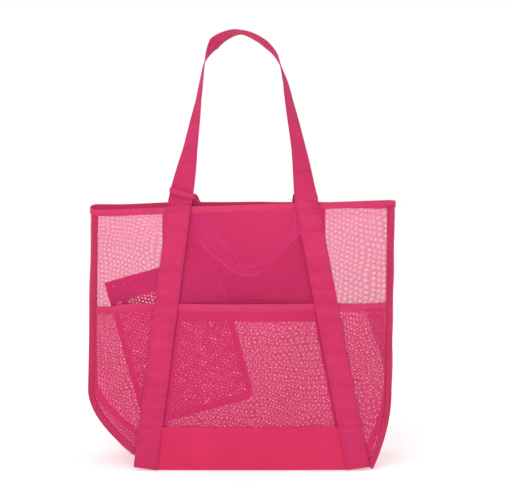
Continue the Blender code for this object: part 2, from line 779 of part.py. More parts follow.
def main():
    clear_scene()
    whole_panel("front_panel", -1)
    whole_panel("rear_panel", 1)
    gusset("gusset_left", -1)
    gusset("gusset_right", 1)
    floor_panel()
    front_pocket()
    pocket_hem()
    bottom_band()
    inner_pocket()
    rim_binding()
    for word_x, side_x in (("left", -1), ("right", 1)):
        for word, side in (("front", -1), ("rear", 1)):
            seam_binding(f"seam_binding_{word}_{word_x}", side_x, side)
            sewn_strap(f"strap_{word}_{word_x}", side_x, side)
            box_stitch(f"box_stitch_{word}_{word_x}", side_x, side)

    handle_hinge = joint_empty("front_handle_hinge", Vector((0.0, handle_depth(), 0.4280)))
    front_handle(handle_hinge)
    handle_wrap(handle_hinge)
    sway = joint_empty("rear_handle_hinge", Vector((0.1045, 0.0385, 0.4300)))
    rear_handle(sway)
    handle_return()
    over_rim("rear_handle_end_right", 1, strap_x(1, REAR_RIM))
    over_rim("rear_handle_end_left", -1, strap_x(-1, REAR_RIM))

    frame = pouch_frame()
    pouch_border(frame)
    zip_z = pouch_panels(frame)
    zip_teeth(frame, zip_z)
    slider = joint_empty("zip_slider_frame", pouch_spot(SLIDER_X, -0.0030, zip_z), frame)
    zip_slider(slider, zip_z)
    zip_bail(slider, zip_z)
    pull = joint_empty("zip_pull_hinge", pouch_spot(SLIDER_X, PULL_Y, zip_z), slider)
    zip_pull(pull, zip_z)


main()
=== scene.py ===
from math import copysign, cos, exp, hypot, pi, radians, sin, tan

import bmesh
import bpy
from mathutils import Matrix, Vector, noise


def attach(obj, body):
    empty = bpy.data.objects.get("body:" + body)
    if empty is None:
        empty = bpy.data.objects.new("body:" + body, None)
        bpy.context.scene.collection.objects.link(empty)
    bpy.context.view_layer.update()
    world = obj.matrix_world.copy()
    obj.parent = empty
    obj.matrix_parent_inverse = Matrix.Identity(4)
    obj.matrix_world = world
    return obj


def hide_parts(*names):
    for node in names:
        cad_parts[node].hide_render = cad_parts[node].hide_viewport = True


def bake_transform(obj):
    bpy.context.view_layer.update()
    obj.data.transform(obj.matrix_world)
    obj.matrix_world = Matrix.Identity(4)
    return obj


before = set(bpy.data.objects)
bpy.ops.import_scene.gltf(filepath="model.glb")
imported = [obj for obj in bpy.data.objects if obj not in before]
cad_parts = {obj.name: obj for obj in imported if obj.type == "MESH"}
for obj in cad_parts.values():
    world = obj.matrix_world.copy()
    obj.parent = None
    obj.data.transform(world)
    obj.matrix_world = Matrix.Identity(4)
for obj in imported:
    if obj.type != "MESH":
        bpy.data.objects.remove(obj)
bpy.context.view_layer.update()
print("frame loaded")

studio = {
    "cameraPlace": (0.0245, -1.67, 0.42),
    "lens": 71.1,
    "shift": -0.0844,
    "lookThrough": 40,  # how many layers of net a ray may pass
    "worldLight": 0.60,
    "lamps": (  # name, place, size and power
        ("keyLight", (-0.9, -1.7, 2.0), 1.8, 26.0),
        ("fillLight", (1.4, -1.0, 1.5), 1.4, 6.0),
    ),
    "lampsFace": (0.0, 0.0, 0.3),
    "floorSize": 30.0,
    "floorDrop": 0.0003,  # keeps the floor and the bag's foot out of one plane
    "floorDark": 0.80, "floorLight": 0.84,
    "floorGlow": 0.60, "nearGlow": 0.65, "floorReach": 1.3,  # the glow grows from nearGlow to all of it
}


def addLamp(name, place, size, power):
    lamp = bpy.data.lights.new(name, "AREA")
    lamp.size = size
    lamp.energy = power
    holder = bpy.data.objects.new(name, lamp)
    holder.location = place
    aim = Vector(studio["lampsFace"]) - Vector(place)
    holder.rotation_euler = aim.to_track_quat("-Z", "Y").to_euler()
    bpy.context.scene.collection.objects.link(holder)


def setUpStudio():
    scene = bpy.context.scene
    camera = bpy.data.objects.new("camera", bpy.data.cameras.new("camera"))
    camera.location = studio["cameraPlace"]
    camera.rotation_euler = (radians(90), 0.0, 0.0)
    camera.data.lens = studio["lens"]
    camera.data.shift_y = studio["shift"]
    scene.collection.objects.link(camera)
    scene.camera = camera
    scene.view_settings.view_transform = "Standard"
    scene.cycles.transparent_max_bounces = studio["lookThrough"]
    for lamp in studio["lamps"]:
        addLamp(*lamp)
    world = bpy.data.worlds.new("studio")
    world.use_nodes = True
    scene.world = world
    sky = Shade(world.node_tree)
    seen = sky.node("LightPath", output="Is Camera Ray")  # the backdrop itself is plain white
    strength = seen + (1.0 - seen) * studio["worldLight"]
    background = world.node_tree.nodes["Background"]
    background.inputs["Color"].default_value = (1.0, 1.0, 1.0, 1.0)
    world.node_tree.links.new(strength.socket, background.inputs["Strength"])
    bm = bmesh.new()
    bmesh.ops.create_grid(bm, x_segments=1, y_segments=1, size=studio["floorSize"])
    bmesh.ops.translate(bm, vec=(0.0, 0.0, -studio["floorDrop"]), verts=bm.verts)
    ground = makeObject("studioFloor", bm, floorLook())


class Shade:  # one socket of a look's nodes; sums on it become Math nodes
    def __init__(self, tree, socket=None):
        self.tree = tree
        self.socket = socket

    def node(self, kind, settings=None, values=None, output=0):
        made = self.tree.nodes.new("ShaderNode" + kind)
        for key, value in (settings or {}).items():
            setattr(made, key, value)
        for key, value in (values or {}).items():
            if isinstance(value, Shade):
                self.tree.links.new(value.socket, made.inputs[key])
            else:
                made.inputs[key].default_value = value
        return Shade(self.tree, made.outputs[output])

    def math(self, operation, *others):
        return self.node("Math", {"operation": operation}, dict(enumerate((self, *others))))

    def __add__(self, other):
        return self.math("ADD", other)

    def __sub__(self, other):
        return self.math("SUBTRACT", other)

    def __rsub__(self, other):
        return self.node("Math", {"operation": "SUBTRACT"}, {0: other, 1: self})

    def __mul__(self, other):
        return self.math("MULTIPLY", other)

    __radd__, __rmul__ = __add__, __mul__

    def clamp(self):
        return self.node("Clamp", None, {0: self})

    def mixed(self, low, high):  # from colour low to colour high; 6, 7 and 2 are Mix's colour sockets
        return self.node("Mix", {"data_type": "RGBA"}, {0: self, 6: (*low, 1.0), 7: (*high, 1.0)}, 2)


def startLook(name):
    look = bpy.data.materials.new(name)
    look.use_nodes = True
    return look, Shade(look.node_tree), look.node_tree.nodes["Principled BSDF"]


def link(look, value, socket):
    look.node_tree.links.new(value.socket, socket)


def addBump(look, height, strength, distance):
    bump = height.node("Bump", None, {"Strength": strength, "Distance": distance, "Height": height})
    link(look, bump, look.node_tree.nodes["Principled BSDF"].inputs["Normal"])


def layOf(shade):  # metres across and along the cloth
    lay = shade.node("UVMap", {"uv_map": "lay"})
    across = shade.node("SeparateXYZ", None, {"Vector": lay}, "X")
    along = shade.node("SeparateXYZ", None, {"Vector": lay}, "Y")
    return across, along


def mottle(shade, scale, detail=2.0):
    spot = shade.node("TexCoord", output="Object")
    return shade.node("TexNoise", None, {"Vector": spot, "Scale": scale, "Detail": detail})


def wave(value, pitch):  # from -1 to 1 and back over each pitch
    return (value * (2 * pi / pitch)).math("SINE")


net = {
    "stray": 0.012,  # metres by which the net's lines bend
    "strayPatches": 9.0, "tonePatches": 14.0, "roughPatches": 60.0,
    "patchTone": 0.9, "threadShadeTone": 0.35, "toneStart": -0.12,
    "threadRise": 2.2, "rough": 0.72, "roughFall": 0.2,
    "bump": 0.5, "bumpDepth": 0.0003, "gloss": 0.25,
}


def turned(across, along, degrees, shade):  # turns and slightly bends the way the net lies
    c = cos(radians(degrees))
    s = sin(radians(degrees))
    bend = (mottle(shade, net["strayPatches"]) - 0.5) * net["stray"]
    return across * c + along * s + bend, along * c - across * s + bend


def holeDistance(across, along, pitch):  # from the middle of the nearest of staggered holes, in metres
    found = None
    rowPitch = pitch * 3 ** 0.5
    for shift in (0.0, 0.5):
        dx = ((across * (1 / pitch) + shift).math("FRACT") - 0.5) * pitch
        dy = ((along * (1 / rowPitch) + shift).math("FRACT") - 0.5) * rowPitch
        distance = (dx * dx + dy * dy).math("SQRT")
        found = distance if found is None else found.math("MINIMUM", distance)
    return found


meshes = {  # each net's pitch, the size of its holes and how soft their edges are, in metres
    "open": (0.0024, 0.00096, 0.00032), "fine": (0.0017, 0.00046, 0.00026), "lace": (0.0060, 0.00190, 0.0004),
}


def netLook(name, kind, degrees, dark, light):  # knitted net, open where its holes are
    pitch, hole, soft = meshes[kind]
    look, shade, shader = startLook(name)
    across, along = turned(*layOf(shade), degrees, shade)
    away = holeDistance(across, along, pitch) - hole
    thread = (away * (net["threadRise"] / pitch)).clamp()
    patches = mottle(shade, net["tonePatches"]) * net["patchTone"]
    # painted shade: each thread is darker towards the holes' rims and lighter along its middle
    tone = (patches + thread * net["threadShadeTone"] + net["toneStart"]).clamp()
    rough = net["rough"] - mottle(shade, net["roughPatches"]) * net["roughFall"]
    link(look, tone.mixed(dark, light), shader.inputs["Base Color"])
    link(look, (away * (1 / soft) + 0.5).clamp(), shader.inputs["Alpha"])
    link(look, rough, shader.inputs["Roughness"])
    addBump(look, thread, net["bump"], net["bumpDepth"])
    shader.inputs["Specular IOR Level"].default_value = net["gloss"]
    return look


cloth = {
    "tonePatches": 22.0, "patchTone": 0.75, "weaveShadeTone": 0.22, "toneStart": -0.16,
    "streakAcross": 240.0, "streakAlong": 14.0, "streakTone": 0.35,
    "rough": 0.70, "roughRise": 0.16, "roughPatches": 90.0, "bump": 0.7, "gloss": 0.3,
}
webbing = {
    "creaseAcross": 9.0, "creaseAlong": 62.0, "creaseLightAndShade": 1.1, "creaseHeight": 1.5,
    "line": 0.0009, "edgeShadeTone": 0.42, "lineHeight": 1.4,  # painted shade, a dark line along each edge
    "paintedHighlightReach": 0.0017, "paintedHighlightTone": 0.75, "paintedShadeBody": 0.35,  # on the hanging handle: a painted highlight along each edge, and painted shade over its body
}


weaves = {  # pitch and depth of each weave, in metres
    "plain": (0.0011, 0.00012), "rib": (0.0012, 0.00018), "twill": (0.0022, 0.00030),
}


def weaveHeight(kind, across, along, pitch):
    if kind == "plain":
        return wave(across, pitch) * wave(along, pitch) * 0.5 + 0.5
    if kind == "rib":
        return wave(along, pitch) * 0.5 + 0.5
    return wave(across + along, pitch) * 0.5 + wave(across - along, pitch) * 0.25 + 0.5  # twill


def wovenLook(name, kind, dark, light, edge=None, paintedHighlightEdge=False):
    pitch, depth = weaves[kind]
    look, shade, shader = startLook(name)
    across, along = layOf(shade)
    height = weaveHeight(kind, across, along, pitch)
    thread = {"X": across * cloth["streakAcross"], "Y": along * cloth["streakAlong"]}
    streak = shade.node("CombineXYZ", None, thread)
    streaks = shade.node("TexNoise", None, {"Vector": streak, "Scale": 1.0, "Detail": 1.0})
    tone = mottle(shade, cloth["tonePatches"]) * cloth["patchTone"]
    # height times the weave tone is painted shade in the weave's hollows and lighter tone on its raised
    # threads
    tone = tone + streaks * cloth["streakTone"] + height * cloth["weaveShadeTone"] + cloth["toneStart"]
    if edge is not None:  # webbing: old creases across it, and painted shade along both edges; the hanging handle gets a painted highlight there instead
        fold = {"X": across * webbing["creaseAcross"], "Y": along * webbing["creaseAlong"]}
        crease = {"Vector": shade.node("CombineXYZ", None, fold), "Scale": 1.0, "Detail": 2.0}
        creases = shade.node("TexNoise", None, crease | {"Roughness": 0.6})
        # painted light and shade on the creases: lighter and darker bands across the webbing
        tone = tone + (creases - 0.5) * webbing["creaseLightAndShade"]
        height = height + creases * webbing["creaseHeight"]
        reach = webbing["paintedHighlightReach"] if paintedHighlightEdge else webbing["line"]
        line = (1.0 - (across.math("ABSOLUTE") - edge).math("ABSOLUTE") * (1 / reach)).clamp()
        # the hanging handle: painted shade darkens its body and a painted highlight lightens its edges
        if paintedHighlightEdge:
            tone = tone * webbing["paintedShadeBody"] + line * webbing["paintedHighlightTone"]
        else:
            # painted shade along both edges
            tone = tone - line * webbing["edgeShadeTone"]
        height = height - line * webbing["lineHeight"]
    rough = mottle(shade, cloth["roughPatches"]) * cloth["roughRise"] + cloth["rough"]
    link(look, tone.clamp().mixed(dark, light), shader.inputs["Base Color"])
    link(look, rough, shader.inputs["Roughness"])
    addBump(look, height, cloth["bump"], depth)
    shader.inputs["Specular IOR Level"].default_value = cloth["gloss"]
    return look


plain = {"patches": 120.0, "detail": 3.0, "roughRise": 0.2, "bump": 0.25, "bumpDepth": 0.0001}


def plainLook(name, dark, light, rough, metallic=0.0):
    look, shade, shader = startLook(name)
    grain = mottle(shade, plain["patches"], plain["detail"])
    link(look, grain.mixed(dark, light), shader.inputs["Base Color"])
    link(look, grain * plain["roughRise"] + rough, shader.inputs["Roughness"])
    addBump(look, grain, plain["bump"], plain["bumpDepth"])
    shader.inputs["Metallic"].default_value = metallic
    return look


def grey(level):
    return level, level, level


def floorLook():
    look, shade, shader = startLook("paleFloor")
    tone = mottle(shade, 3.0).mixed(grey(studio["floorDark"]), grey(studio["floorLight"]))
    link(look, tone, shader.inputs["Base Color"])
    shader.inputs["Roughness"].default_value = 0.9
    shader.inputs["Specular IOR Level"].default_value = 0.0
    spot = shade.node("TexCoord", output="Object")
    away = shade.node("VectorMath", {"operation": "LENGTH"}, {0: spot}, "Value")
    far = (away * (1.0 / studio["floorReach"])).clamp()
    link(look, far.mixed(grey(studio["nearGlow"]), grey(1.0)), shader.inputs["Emission Color"])
    shader.inputs["Emission Strength"].default_value = studio["floorGlow"]
    return look


looks = {
    "net": netLook("pinkNet", "open", 0, dark=(0.80, 0.028, 0.18), light=(0.93, 0.052, 0.27)),
    "rearNet": netLook("rearNet", "open", 17, dark=(0.80, 0.028, 0.20), light=(0.93, 0.054, 0.30)),
    "pocketNet": netLook("pocketNet", "fine", 11, dark=(0.62, 0.017, 0.116), light=(0.78, 0.032, 0.176)),
    "lace": netLook("pouchLace", "lace", 30, dark=(0.64, 0.026, 0.13), light=(0.80, 0.045, 0.20)),
    "cloth": wovenLook("pinkCloth", "plain", dark=(0.55, 0.016, 0.078), light=(0.72, 0.026, 0.122)),
    # the inner pocket is the same pink cloth, painted darker for the shade inside the bag
    "innerClothPaintedShade": wovenLook("innerClothPaintedShade", "plain", dark=(0.49, 0.022, 0.034), light=(0.63, 0.034, 0.054)),
    "webbing": wovenLook(
        "pinkWebbing", "twill", dark=(0.49, 0.0165, 0.087), light=(0.69, 0.030, 0.148), edge=0.0165,
    ),
    # the hanging rear handle is the same webbing, given painted shade over its body and a painted highlight
    # at its edges
    "hangingWebbingPaintedLight": wovenLook(
        "hangingWebbingPaintedLight", "twill", dark=(0.42, 0.014, 0.070), light=(1.00, 0.10, 0.30),
        edge=0.0150, paintedHighlightEdge=True,
    ),
    "tape": wovenLook("pinkBinding", "rib", dark=(0.50, 0.022, 0.090), light=(0.72, 0.045, 0.165)),
    # the upright seam bindings are the rim's tape, painted darker for the shade on the bag's sides
    "sideTapePaintedShade": wovenLook("sideBindingPaintedShade", "rib", dark=(0.40, 0.016, 0.065), light=(0.60, 0.032, 0.120)),
    "thread": plainLook("pinkThread", dark=(0.52, 0.018, 0.095), light=(0.70, 0.034, 0.155), rough=0.45),
    "zipPlastic": plainLook("zipPlastic", dark=(0.50, 0.026, 0.09), light=(0.62, 0.045, 0.13), rough=0.32),
    "zipMetal": plainLook(
        "paintedMetal", dark=(0.50, 0.025, 0.09), light=(0.64, 0.045, 0.14), rough=0.22, metallic=0.35,
    ),
}
print("looks made")


def makeObject(name, bm, look):
    mesh = bpy.data.meshes.new(name)
    bm.to_mesh(mesh)
    bm.free()
    mesh.materials.append(look)
    mesh.shade_smooth()
    mesh.set_sharp_from_angle(angle=radians(50))
    thing = bpy.data.objects.new(name, mesh)
    bpy.context.scene.collection.objects.link(thing)
    return thing


def finishPiece(name, bm, lookName, body=None, stands=()):
    bmesh.ops.recalc_face_normals(bm, faces=bm.faces)
    thing = makeObject(name, bm, looks[lookName])
    if body is not None:
        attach(thing, body)
    if stands:
        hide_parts(*stands)
    return thing


def setLay(bm, laid):  # the cloth's own metres at each corner, as the piece's UV map
    lay = bm.loops.layers.uv.new("lay")
    for face in bm.faces:
        for loop in face.loops:
            loop[lay].uv = laid[loop.vert]


def gridStep(value, steps):  # which line of a unit grid a corner lies on
    return round((value + 0.5) * steps)


def mergeDoubles(bm):
    bmesh.ops.remove_doubles(bm, verts=bm.verts, dist=1e-6)


def closeEnds(bm):
    bmesh.ops.holes_fill(bm, edges=[edge for edge in bm.edges if edge.is_boundary])


def headingAt(path, k, closed=False):  # the way a path runs at its point k
    last = len(path) - 1
    before = path[k - 1] if closed else path[max(k - 1, 0)]
    after = path[(k + 1) % len(path)] if closed else path[min(k + 1, last)]
    return (after - before).normalized()


def layCloth(name, columns, rows, place, layAt, lookName, body="bag", stands=()):
    # a closed sheet: place() puts each corner of a grid at its near and its far face
    bm = bmesh.new()
    across = len(columns) - 1
    up = len(rows) - 1
    bmesh.ops.create_grid(bm, x_segments=across, y_segments=up, size=0.5)
    made = bmesh.ops.extrude_face_region(bm, geom=bm.faces[:])
    far = {g for g in made["geom"] if isinstance(g, bmesh.types.BMVert)}
    layFound = {}
    laid = {}
    for v in bm.verts:
        spot = columns[gridStep(v.co.x, across)], rows[gridStep(v.co.y, up)]
        if spot not in layFound:
            layFound[spot] = layAt(*spot) if layAt else spot
        laid[v] = layFound[spot]
        v.co = place(*spot, v in far)
    setLay(bm, laid)
    return finishPiece(name, bm, lookName, body, stands)


def layBand(
    name, path, faces, widths, thickness, lookName,
    body="bag", stands=(), closed=False, around=16, square=0.28, level=None,
):
    # a flat band with soft edges along a path; faces say which way it looks
    count = len(path)
    steps = count if closed else count - 1
    if isinstance(faces, Vector):
        faces = [faces] * count
    if isinstance(widths, float):
        widths = [widths] * count
    bm = bmesh.new()
    bmesh.ops.create_grid(bm, x_segments=around, y_segments=steps, size=0.5)
    lengths = [0.0]
    for k in range(steps):
        lengths.append(lengths[-1] + (path[(k + 1) % count] - path[k]).length)
    rings = []
    for k in range(count):
        forward = headingAt(path, k, closed)
        face = (faces[k] - forward * faces[k].dot(forward)).normalized()
        rings.append((path[k], forward.cross(face) * widths[k] / 2, face * thickness / 2))
    laid = {}
    for v in bm.verts:
        turn = 2 * pi * gridStep(v.co.x, around) / around
        step = gridStep(v.co.y, steps)
        middle, wide, deep = rings[step % count]
        out = copysign(abs(cos(turn)) ** square, cos(turn))
        push = copysign(abs(sin(turn)) ** (square * 1.3), sin(turn))
        v.co = middle + wide * out + deep * push
        if level is not None and step in (0, steps):  # the ends are cut level
            v.co.z = level[0] if step == 0 else level[1]
        laid[v] = (out * wide.length, lengths[step])
    setLay(bm, laid)
    mergeDoubles(bm)
    if not closed:
        closeEnds(bm)
    return finishPiece(name, bm, lookName, body, stands)


stitch = {
    "pitch": 0.0036, "thick": 0.0008, "around": 5, "steps": 5,
    "rise": 0.55, "sink": 0.60, "thin": 0.30, "swell": 0.20,  # shares of its thickness
    "proud": 0.0001,  # how far above the cloth a row of stitches runs
}


def sewRows(name, rows, body, stands=()):
    # rows of stitches: a thread that comes up out of the cloth and goes down again at each stitch
    around = stitch["around"]
    bm = bmesh.new()
    for row in rows:
        lengths = [0.0]
        for (a, _), (b, _) in zip(row, row[1:]):
            lengths.append(lengths[-1] + (b - a).length)
        steps = max(1, round(lengths[-1] / stitch["pitch"])) * stitch["steps"]
        made = bmesh.ops.create_grid(bm, x_segments=around, y_segments=steps, size=0.5)
        span = 0
        rings = []
        for k in range(steps + 1):
            reach = lengths[-1] * k / steps
            while span < len(row) - 2 and lengths[span + 1] < reach:
                span += 1
            (a, outA), (b, outB) = row[span], row[span + 1]
            share = (reach - lengths[span]) / max(1e-9, lengths[span + 1] - lengths[span])
            forward = (b - a).normalized()
            out = outA.lerp(outB, share)
            out = (out - forward * out.dot(forward)).normalized()
            rise = abs(sin(pi * k / stitch["steps"]))
            sink = stitch["thick"] * (stitch["rise"] * rise - stitch["sink"])
            radius = stitch["thick"] * (stitch["thin"] + stitch["swell"] * rise)
            rings.append((a.lerp(b, share) + out * sink, out, forward.cross(out), radius))
        for v in made["verts"]:
            turn = 2 * pi * gridStep(v.co.x, around) / around
            middle, out, wide, radius = rings[gridStep(v.co.y, steps)]
            v.co = middle + (out * cos(turn) + wide * sin(turn)) * radius
    mergeDoubles(bm)
    closeEnds(bm)
    return finishPiece(name, bm, "thread", body, stands)


def spread(start, end, count):
    return [start + (end - start) * k / count for k in range(count + 1)]


def smoothStep(low, high, value):
    share = min(1.0, max(0.0, (value - low) / (high - low)))
    return share * share * (3 - 2 * share)


def smoothPath(points, perSpan):  # a Catmull-Rom curve
    spots = [Vector(point) for point in points]
    ends = [spots[0] * 2 - spots[1], *spots, spots[-1] * 2 - spots[-2]]
    found = []
    for k in range(1, len(ends) - 2):
        before, a, b, after = ends[k - 1 : k + 3]
        for j in range(perSpan):
            t = j / perSpan
            spot = a * 2 + (b - before) * t + (before * 2 - a * 5 + b * 4 - after) * t * t
            spot += (a * 3 - before - b * 3 + after) * t * t * t
            found.append(spot / 2)
    found.append(spots[-1])
    return found


def spreadValues(values, perSpan):
    found = []
    for a, b in zip(values, values[1:]):
        found += [a + (b - a) * j / perSpan for j in range(perSpan)]
    return found + [values[-1]]


toFront = Vector((0.0, -1.0, 0.0))

bag = {
    "edgeLeft": -0.2337, "edgeRight": 0.2290, "edgeRightLean": 0.0310, "shapeHalf": 0.2420, "roundness": 2.4,
    "rimMiddle": 0.4190, "rimSlope": 0.0340, "rimWave": 0.0011,
    "rearRim": 0.4240, "rearDroop": 0.0042, "rearDroopEnds": (-0.21, -0.10),
    "seamTop": 0.0110, "seamBottom": 0.0670, "bellyTop": 0.0570, "bellyBottom": 0.0700,
    "ripple": 0.0017, "rippleFrom": 0.06, "net": 0.0006, "gap": 0.0003,
    "bindingWidth": 0.0110, "binding": 0.0028, "webbingWidth": 0.0380, "webbing": 0.0018,
    "underBinding": 0.0018, "underRim": 0.0015,  # how far the nets run under their bindings
    "foot": 0.0030, "seamFootLeft": 0.0120, "seamFootRight": 0.0060,
    "cornerStart": 0.1250, "cornerLeft": (0.0780, -0.1250, 0.0060), "cornerRight": (0.0700, 0.1985, 0.0060),
    "floorMiddle": 0.0360, "floorFlat": 0.0900, "floorRise": 0.0045, "floorRiseOver": 0.0750,
    "rearWider": 0.0110, "rearWiderAtRim": 0.0030,
    "strapLeft": (-0.1512, 0.1262), "strapRight": (0.1850, -0.1900),  # place at the foot, and lean
}
halfWebbing = bag["webbingWidth"] / 2


def drift(x, y, z):
    return noise.noise(Vector((x, y, z)))


def frontRim(x):
    return bag["rimMiddle"] + bag["rimSlope"] * x


def rim(x, side):  # side is -1 at the front and 1 at the rear
    if side < 0:
        level = frontRim(x)
    else:
        level = bag["rearRim"] - bag["rearDroop"] * (1 - smoothStep(*bag["rearDroopEnds"], x))
    return level + bag["rimWave"] * drift(x * 17.0, side * 5.0, 0.3)


def ripple(x, z, side):  # soft waves that all layers of a panel share
    spot = Vector((x * 11.0, side * 4.0, z * 6.0))
    push = noise.noise(spot) + 0.5 * noise.noise(spot * 2.6)
    return bag["ripple"] * push * smoothStep(0.0, bag["rippleFrom"], z)


def belly(x, z):  # half depth of the bag
    share = z / bag["rimMiddle"]
    seam = bag["seamBottom"] + (bag["seamTop"] - bag["seamBottom"]) * share
    middle = bag["bellyBottom"] + (bag["bellyTop"] - bag["bellyBottom"]) * share * share
    return seam + (middle - seam) * (1.0 - abs(x / bag["shapeHalf"]) ** bag["roundness"])


def onPanel(x, z, side, offset):
    return Vector((x, side * (belly(x, z) + ripple(x, z, side) + offset), z))


def strapX(sideX, z):  # sideX is -1 at the left and 1 at the right
    foot, lean = bag["strapLeft"] if sideX < 0 else bag["strapRight"]
    return foot + lean * z


def sideEdge(sideX):
    return bag["edgeLeft"] if sideX < 0 else bag["edgeRight"]


def seamFoot(sideX):
    return bag["seamFootLeft"] if sideX < 0 else bag["seamFootRight"]


def cornerCurve(sideX, t):  # the rounded lower corner, and its outward direction
    edge = sideEdge(sideX)
    pull, endX, endZ = bag["cornerLeft"] if sideX < 0 else bag["cornerRight"]
    a = Vector((edge, bag["cornerStart"]))
    b = Vector((edge, pull))
    c = Vector((endX, endZ))
    along = ((b - a) * (1 - t) + (c - b) * t).normalized()
    return a * (1 - t) ** 2 + b * 2 * t * (1 - t) + c * t * t, Vector((-along.y, along.x)) * sideX


def rearOut(z):  # the rear face is cut a little wider towards the foot
    return bag["rearWider"] * (1.0 - z / bag["rimMiddle"]) ** 0.7 + bag["rearWiderAtRim"]


def seamPoint(sideX, z, side=-1):  # inner edge of a seam binding in x and z, and its outward direction
    extra = Vector((sideX * rearOut(z), 0.0)) if side > 0 else Vector((0.0, 0.0))
    if z >= bag["cornerStart"]:
        lean = 0.0 if sideX < 0 else bag["edgeRightLean"]
        return Vector((sideEdge(sideX) + lean * (z - bag["cornerStart"]), z)) + extra, Vector((sideX, 0.0))
    low, high = 0.0, 1.0
    for _ in range(30):  # halves the span that holds this height
        t = (low + high) / 2
        low, high = (t, high) if cornerCurve(sideX, t)[0].y > z else (low, t)
    spot, out = cornerCurve(sideX, high)
    return spot + extra, out


edgeFound = {}


def edgeX(sideX, z, side=-1):
    place = (sideX, round(max(0.0, z), 5), side)
    if place not in edgeFound:
        edgeFound[place] = seamPoint(sideX, place[1], side)[0].x
    return edgeFound[place]


def floorZ(x):
    over = max(0.0, abs(x - bag["floorMiddle"]) - bag["floorFlat"]) / bag["floorRiseOver"]
    return bag["floorRise"] * over * over


def rowHeight(row, x, side):  # row 0 is the foot, row 1 lies inside the rim binding's lower edge
    lowest = bag["foot"] + floorZ(x)
    top = rim(x, side) - bag["bindingWidth"] + bag["underRim"]
    return lowest + (top - lowest) * row


panel = {"across": 72, "up": 64, "flat": (0.480, 0.425)}


def sewPanel(name, side, node):
    def place(column, row, far):
        z = rowHeight(row, 0.0, side)
        for _ in range(3):  # the width and the height of a corner settle together
            start = edgeX(-1, z, side) - bag["underBinding"]
            end = edgeX(1, z, side) + bag["underBinding"]
            z = rowHeight(row, start + (end - start) * column, side)
        x = start + (end - start) * column
        return onPanel(x, z, side, bag["net"] / 2 if far else -bag["net"] / 2)

    def layAt(column, row):
        spot = place(column, row, False)
        return spot.x + side * 0.0009, spot.z + side * 0.0005

    columns = spread(0, 1, panel["across"])
    rows = spread(0, 1, panel["up"])
    lookName = "net" if side < 0 else "rearNet"
    piece = layCloth(name, columns, rows, place, layAt, lookName, stands=[node])


gusset = {
    "bulge": 0.0075, "waver": 0.0022, "flatFoot": 0.0180, "clear": 0.0004,
    "footBulge": 0.0115, "footHeight": 0.0360, "footReach": 0.0340,  # only at the left
    "turnsUnder": 0.06, "across": 20, "up": 64,
}


def sewGusset(name, sideX, node):
    edge = sideEdge(sideX)
    lowest = seamFoot(sideX)
    footBulge = gusset["footBulge"] if sideX < 0 else 0.0

    def bulgeAt(across, z):
        fromFoot = (z - gusset["footHeight"]) / gusset["footReach"]
        bulge = gusset["bulge"] + footBulge * exp(-(fromFoot ** 2))
        bulge += gusset["waver"] * drift(across * 1.4, sideX * 3.0, z * 16.0)
        return bulge * min(1.0, (z - lowest) / gusset["flatFoot"]) * (1.0 - across * across)

    def place(across, row, far):
        share = (across + 1) / 2
        top = rim(edge, -1) * (1 - share) + rim(edge, 1) * share - bag["bindingWidth"] + bag["underRim"]
        z = lowest + (top - lowest) * row
        spot, out = seamPoint(sideX, z)
        spot = spot.lerp(seamPoint(sideX, z, 1)[0], share)
        middle = spot + out * (bag["gap"] + bag["bindingWidth"] * 0.4)
        half = belly(middle.x, middle.y) - bag["binding"] / 2 - gusset["clear"]
        sway = ripple(middle.x, middle.y, 1) * share - ripple(middle.x, middle.y, -1) * (1 - share)
        flat = middle + out * (bulgeAt(across, z) + (bag["net"] if far else 0.0))
        return Vector((flat.x, across * half + sway, flat.y))

    def layAt(across, row):
        spot = place(across, row, False)
        low = gusset["turnsUnder"]
        if spot.z > low:
            return spot.y, spot.z
        return spot.y, low - abs(spot.x - edgeX(sideX, low)) - (low - spot.z) * 0.5

    columns = spread(-1, 1, gusset["across"])
    piece = layCloth(name, columns, spread(0, 1, gusset["up"]), place, layAt, "net", stands=[node])


floor = {
    "leftPast": 0.0090, "rightPast": 0.0020, "past": 0.0105, "thick": 0.0012, "inset": 0.0010, "sag": 0.0006,
    "sideUp": 0.0046, "sideUpFrom": 0.92, "endUp": 0.0060, "endUpFrom": 0.94,
    "layLong": 0.345, "layHalf": 0.068,
}


def sewFloor():  # its edges turn up inside the panels and the gussets
    start = bag["cornerLeft"][1] - floor["leftPast"]
    end = bag["cornerRight"][1] + floor["rightPast"]

    def place(column, across, far):
        x = start - floor["past"] + (end - start + 1.5 * floor["past"]) * column
        x += rearOut(0.0) * (across + 1) / 2 * (2 * column - 1)
        half = belly(x, 0.0) - floor["inset"]
        sag = max(0.0, floor["sag"] * drift(x * 20, across * 2, 2.0))
        sideUp = floor["sideUp"] * smoothStep(floor["sideUpFrom"], 1.0, abs(across))
        endUp = floor["endUp"] * smoothStep(floor["endUpFrom"], 1.0, abs(2 * column - 1))
        up = max(sideUp, endUp) + (floor["thick"] if far else 0.0)
        return Vector((x, across * half, floorZ(x) + sag + up))

    def layAt(column, across):
        return column * floor["layLong"], across * floor["layHalf"]

    columns = [0.5 - 0.5 * cos(pi * k / 48) for k in range(49)]
    rows = [sin(pi / 2 * k / 11) for k in range(-11, 12)]
    piece = layCloth("floorCloth", columns, rows, place, layAt, "cloth", stands=["floor_panel"])


sewPanel("frontPanel", -1, "front_panel")
sewPanel("rearPanel", 1, "rear_panel")
sewGusset("gussetLeft", -1, "gusset_left")
sewGusset("gussetRight", 1, "gusset_right")
sewFloor()
print("panels sewn")

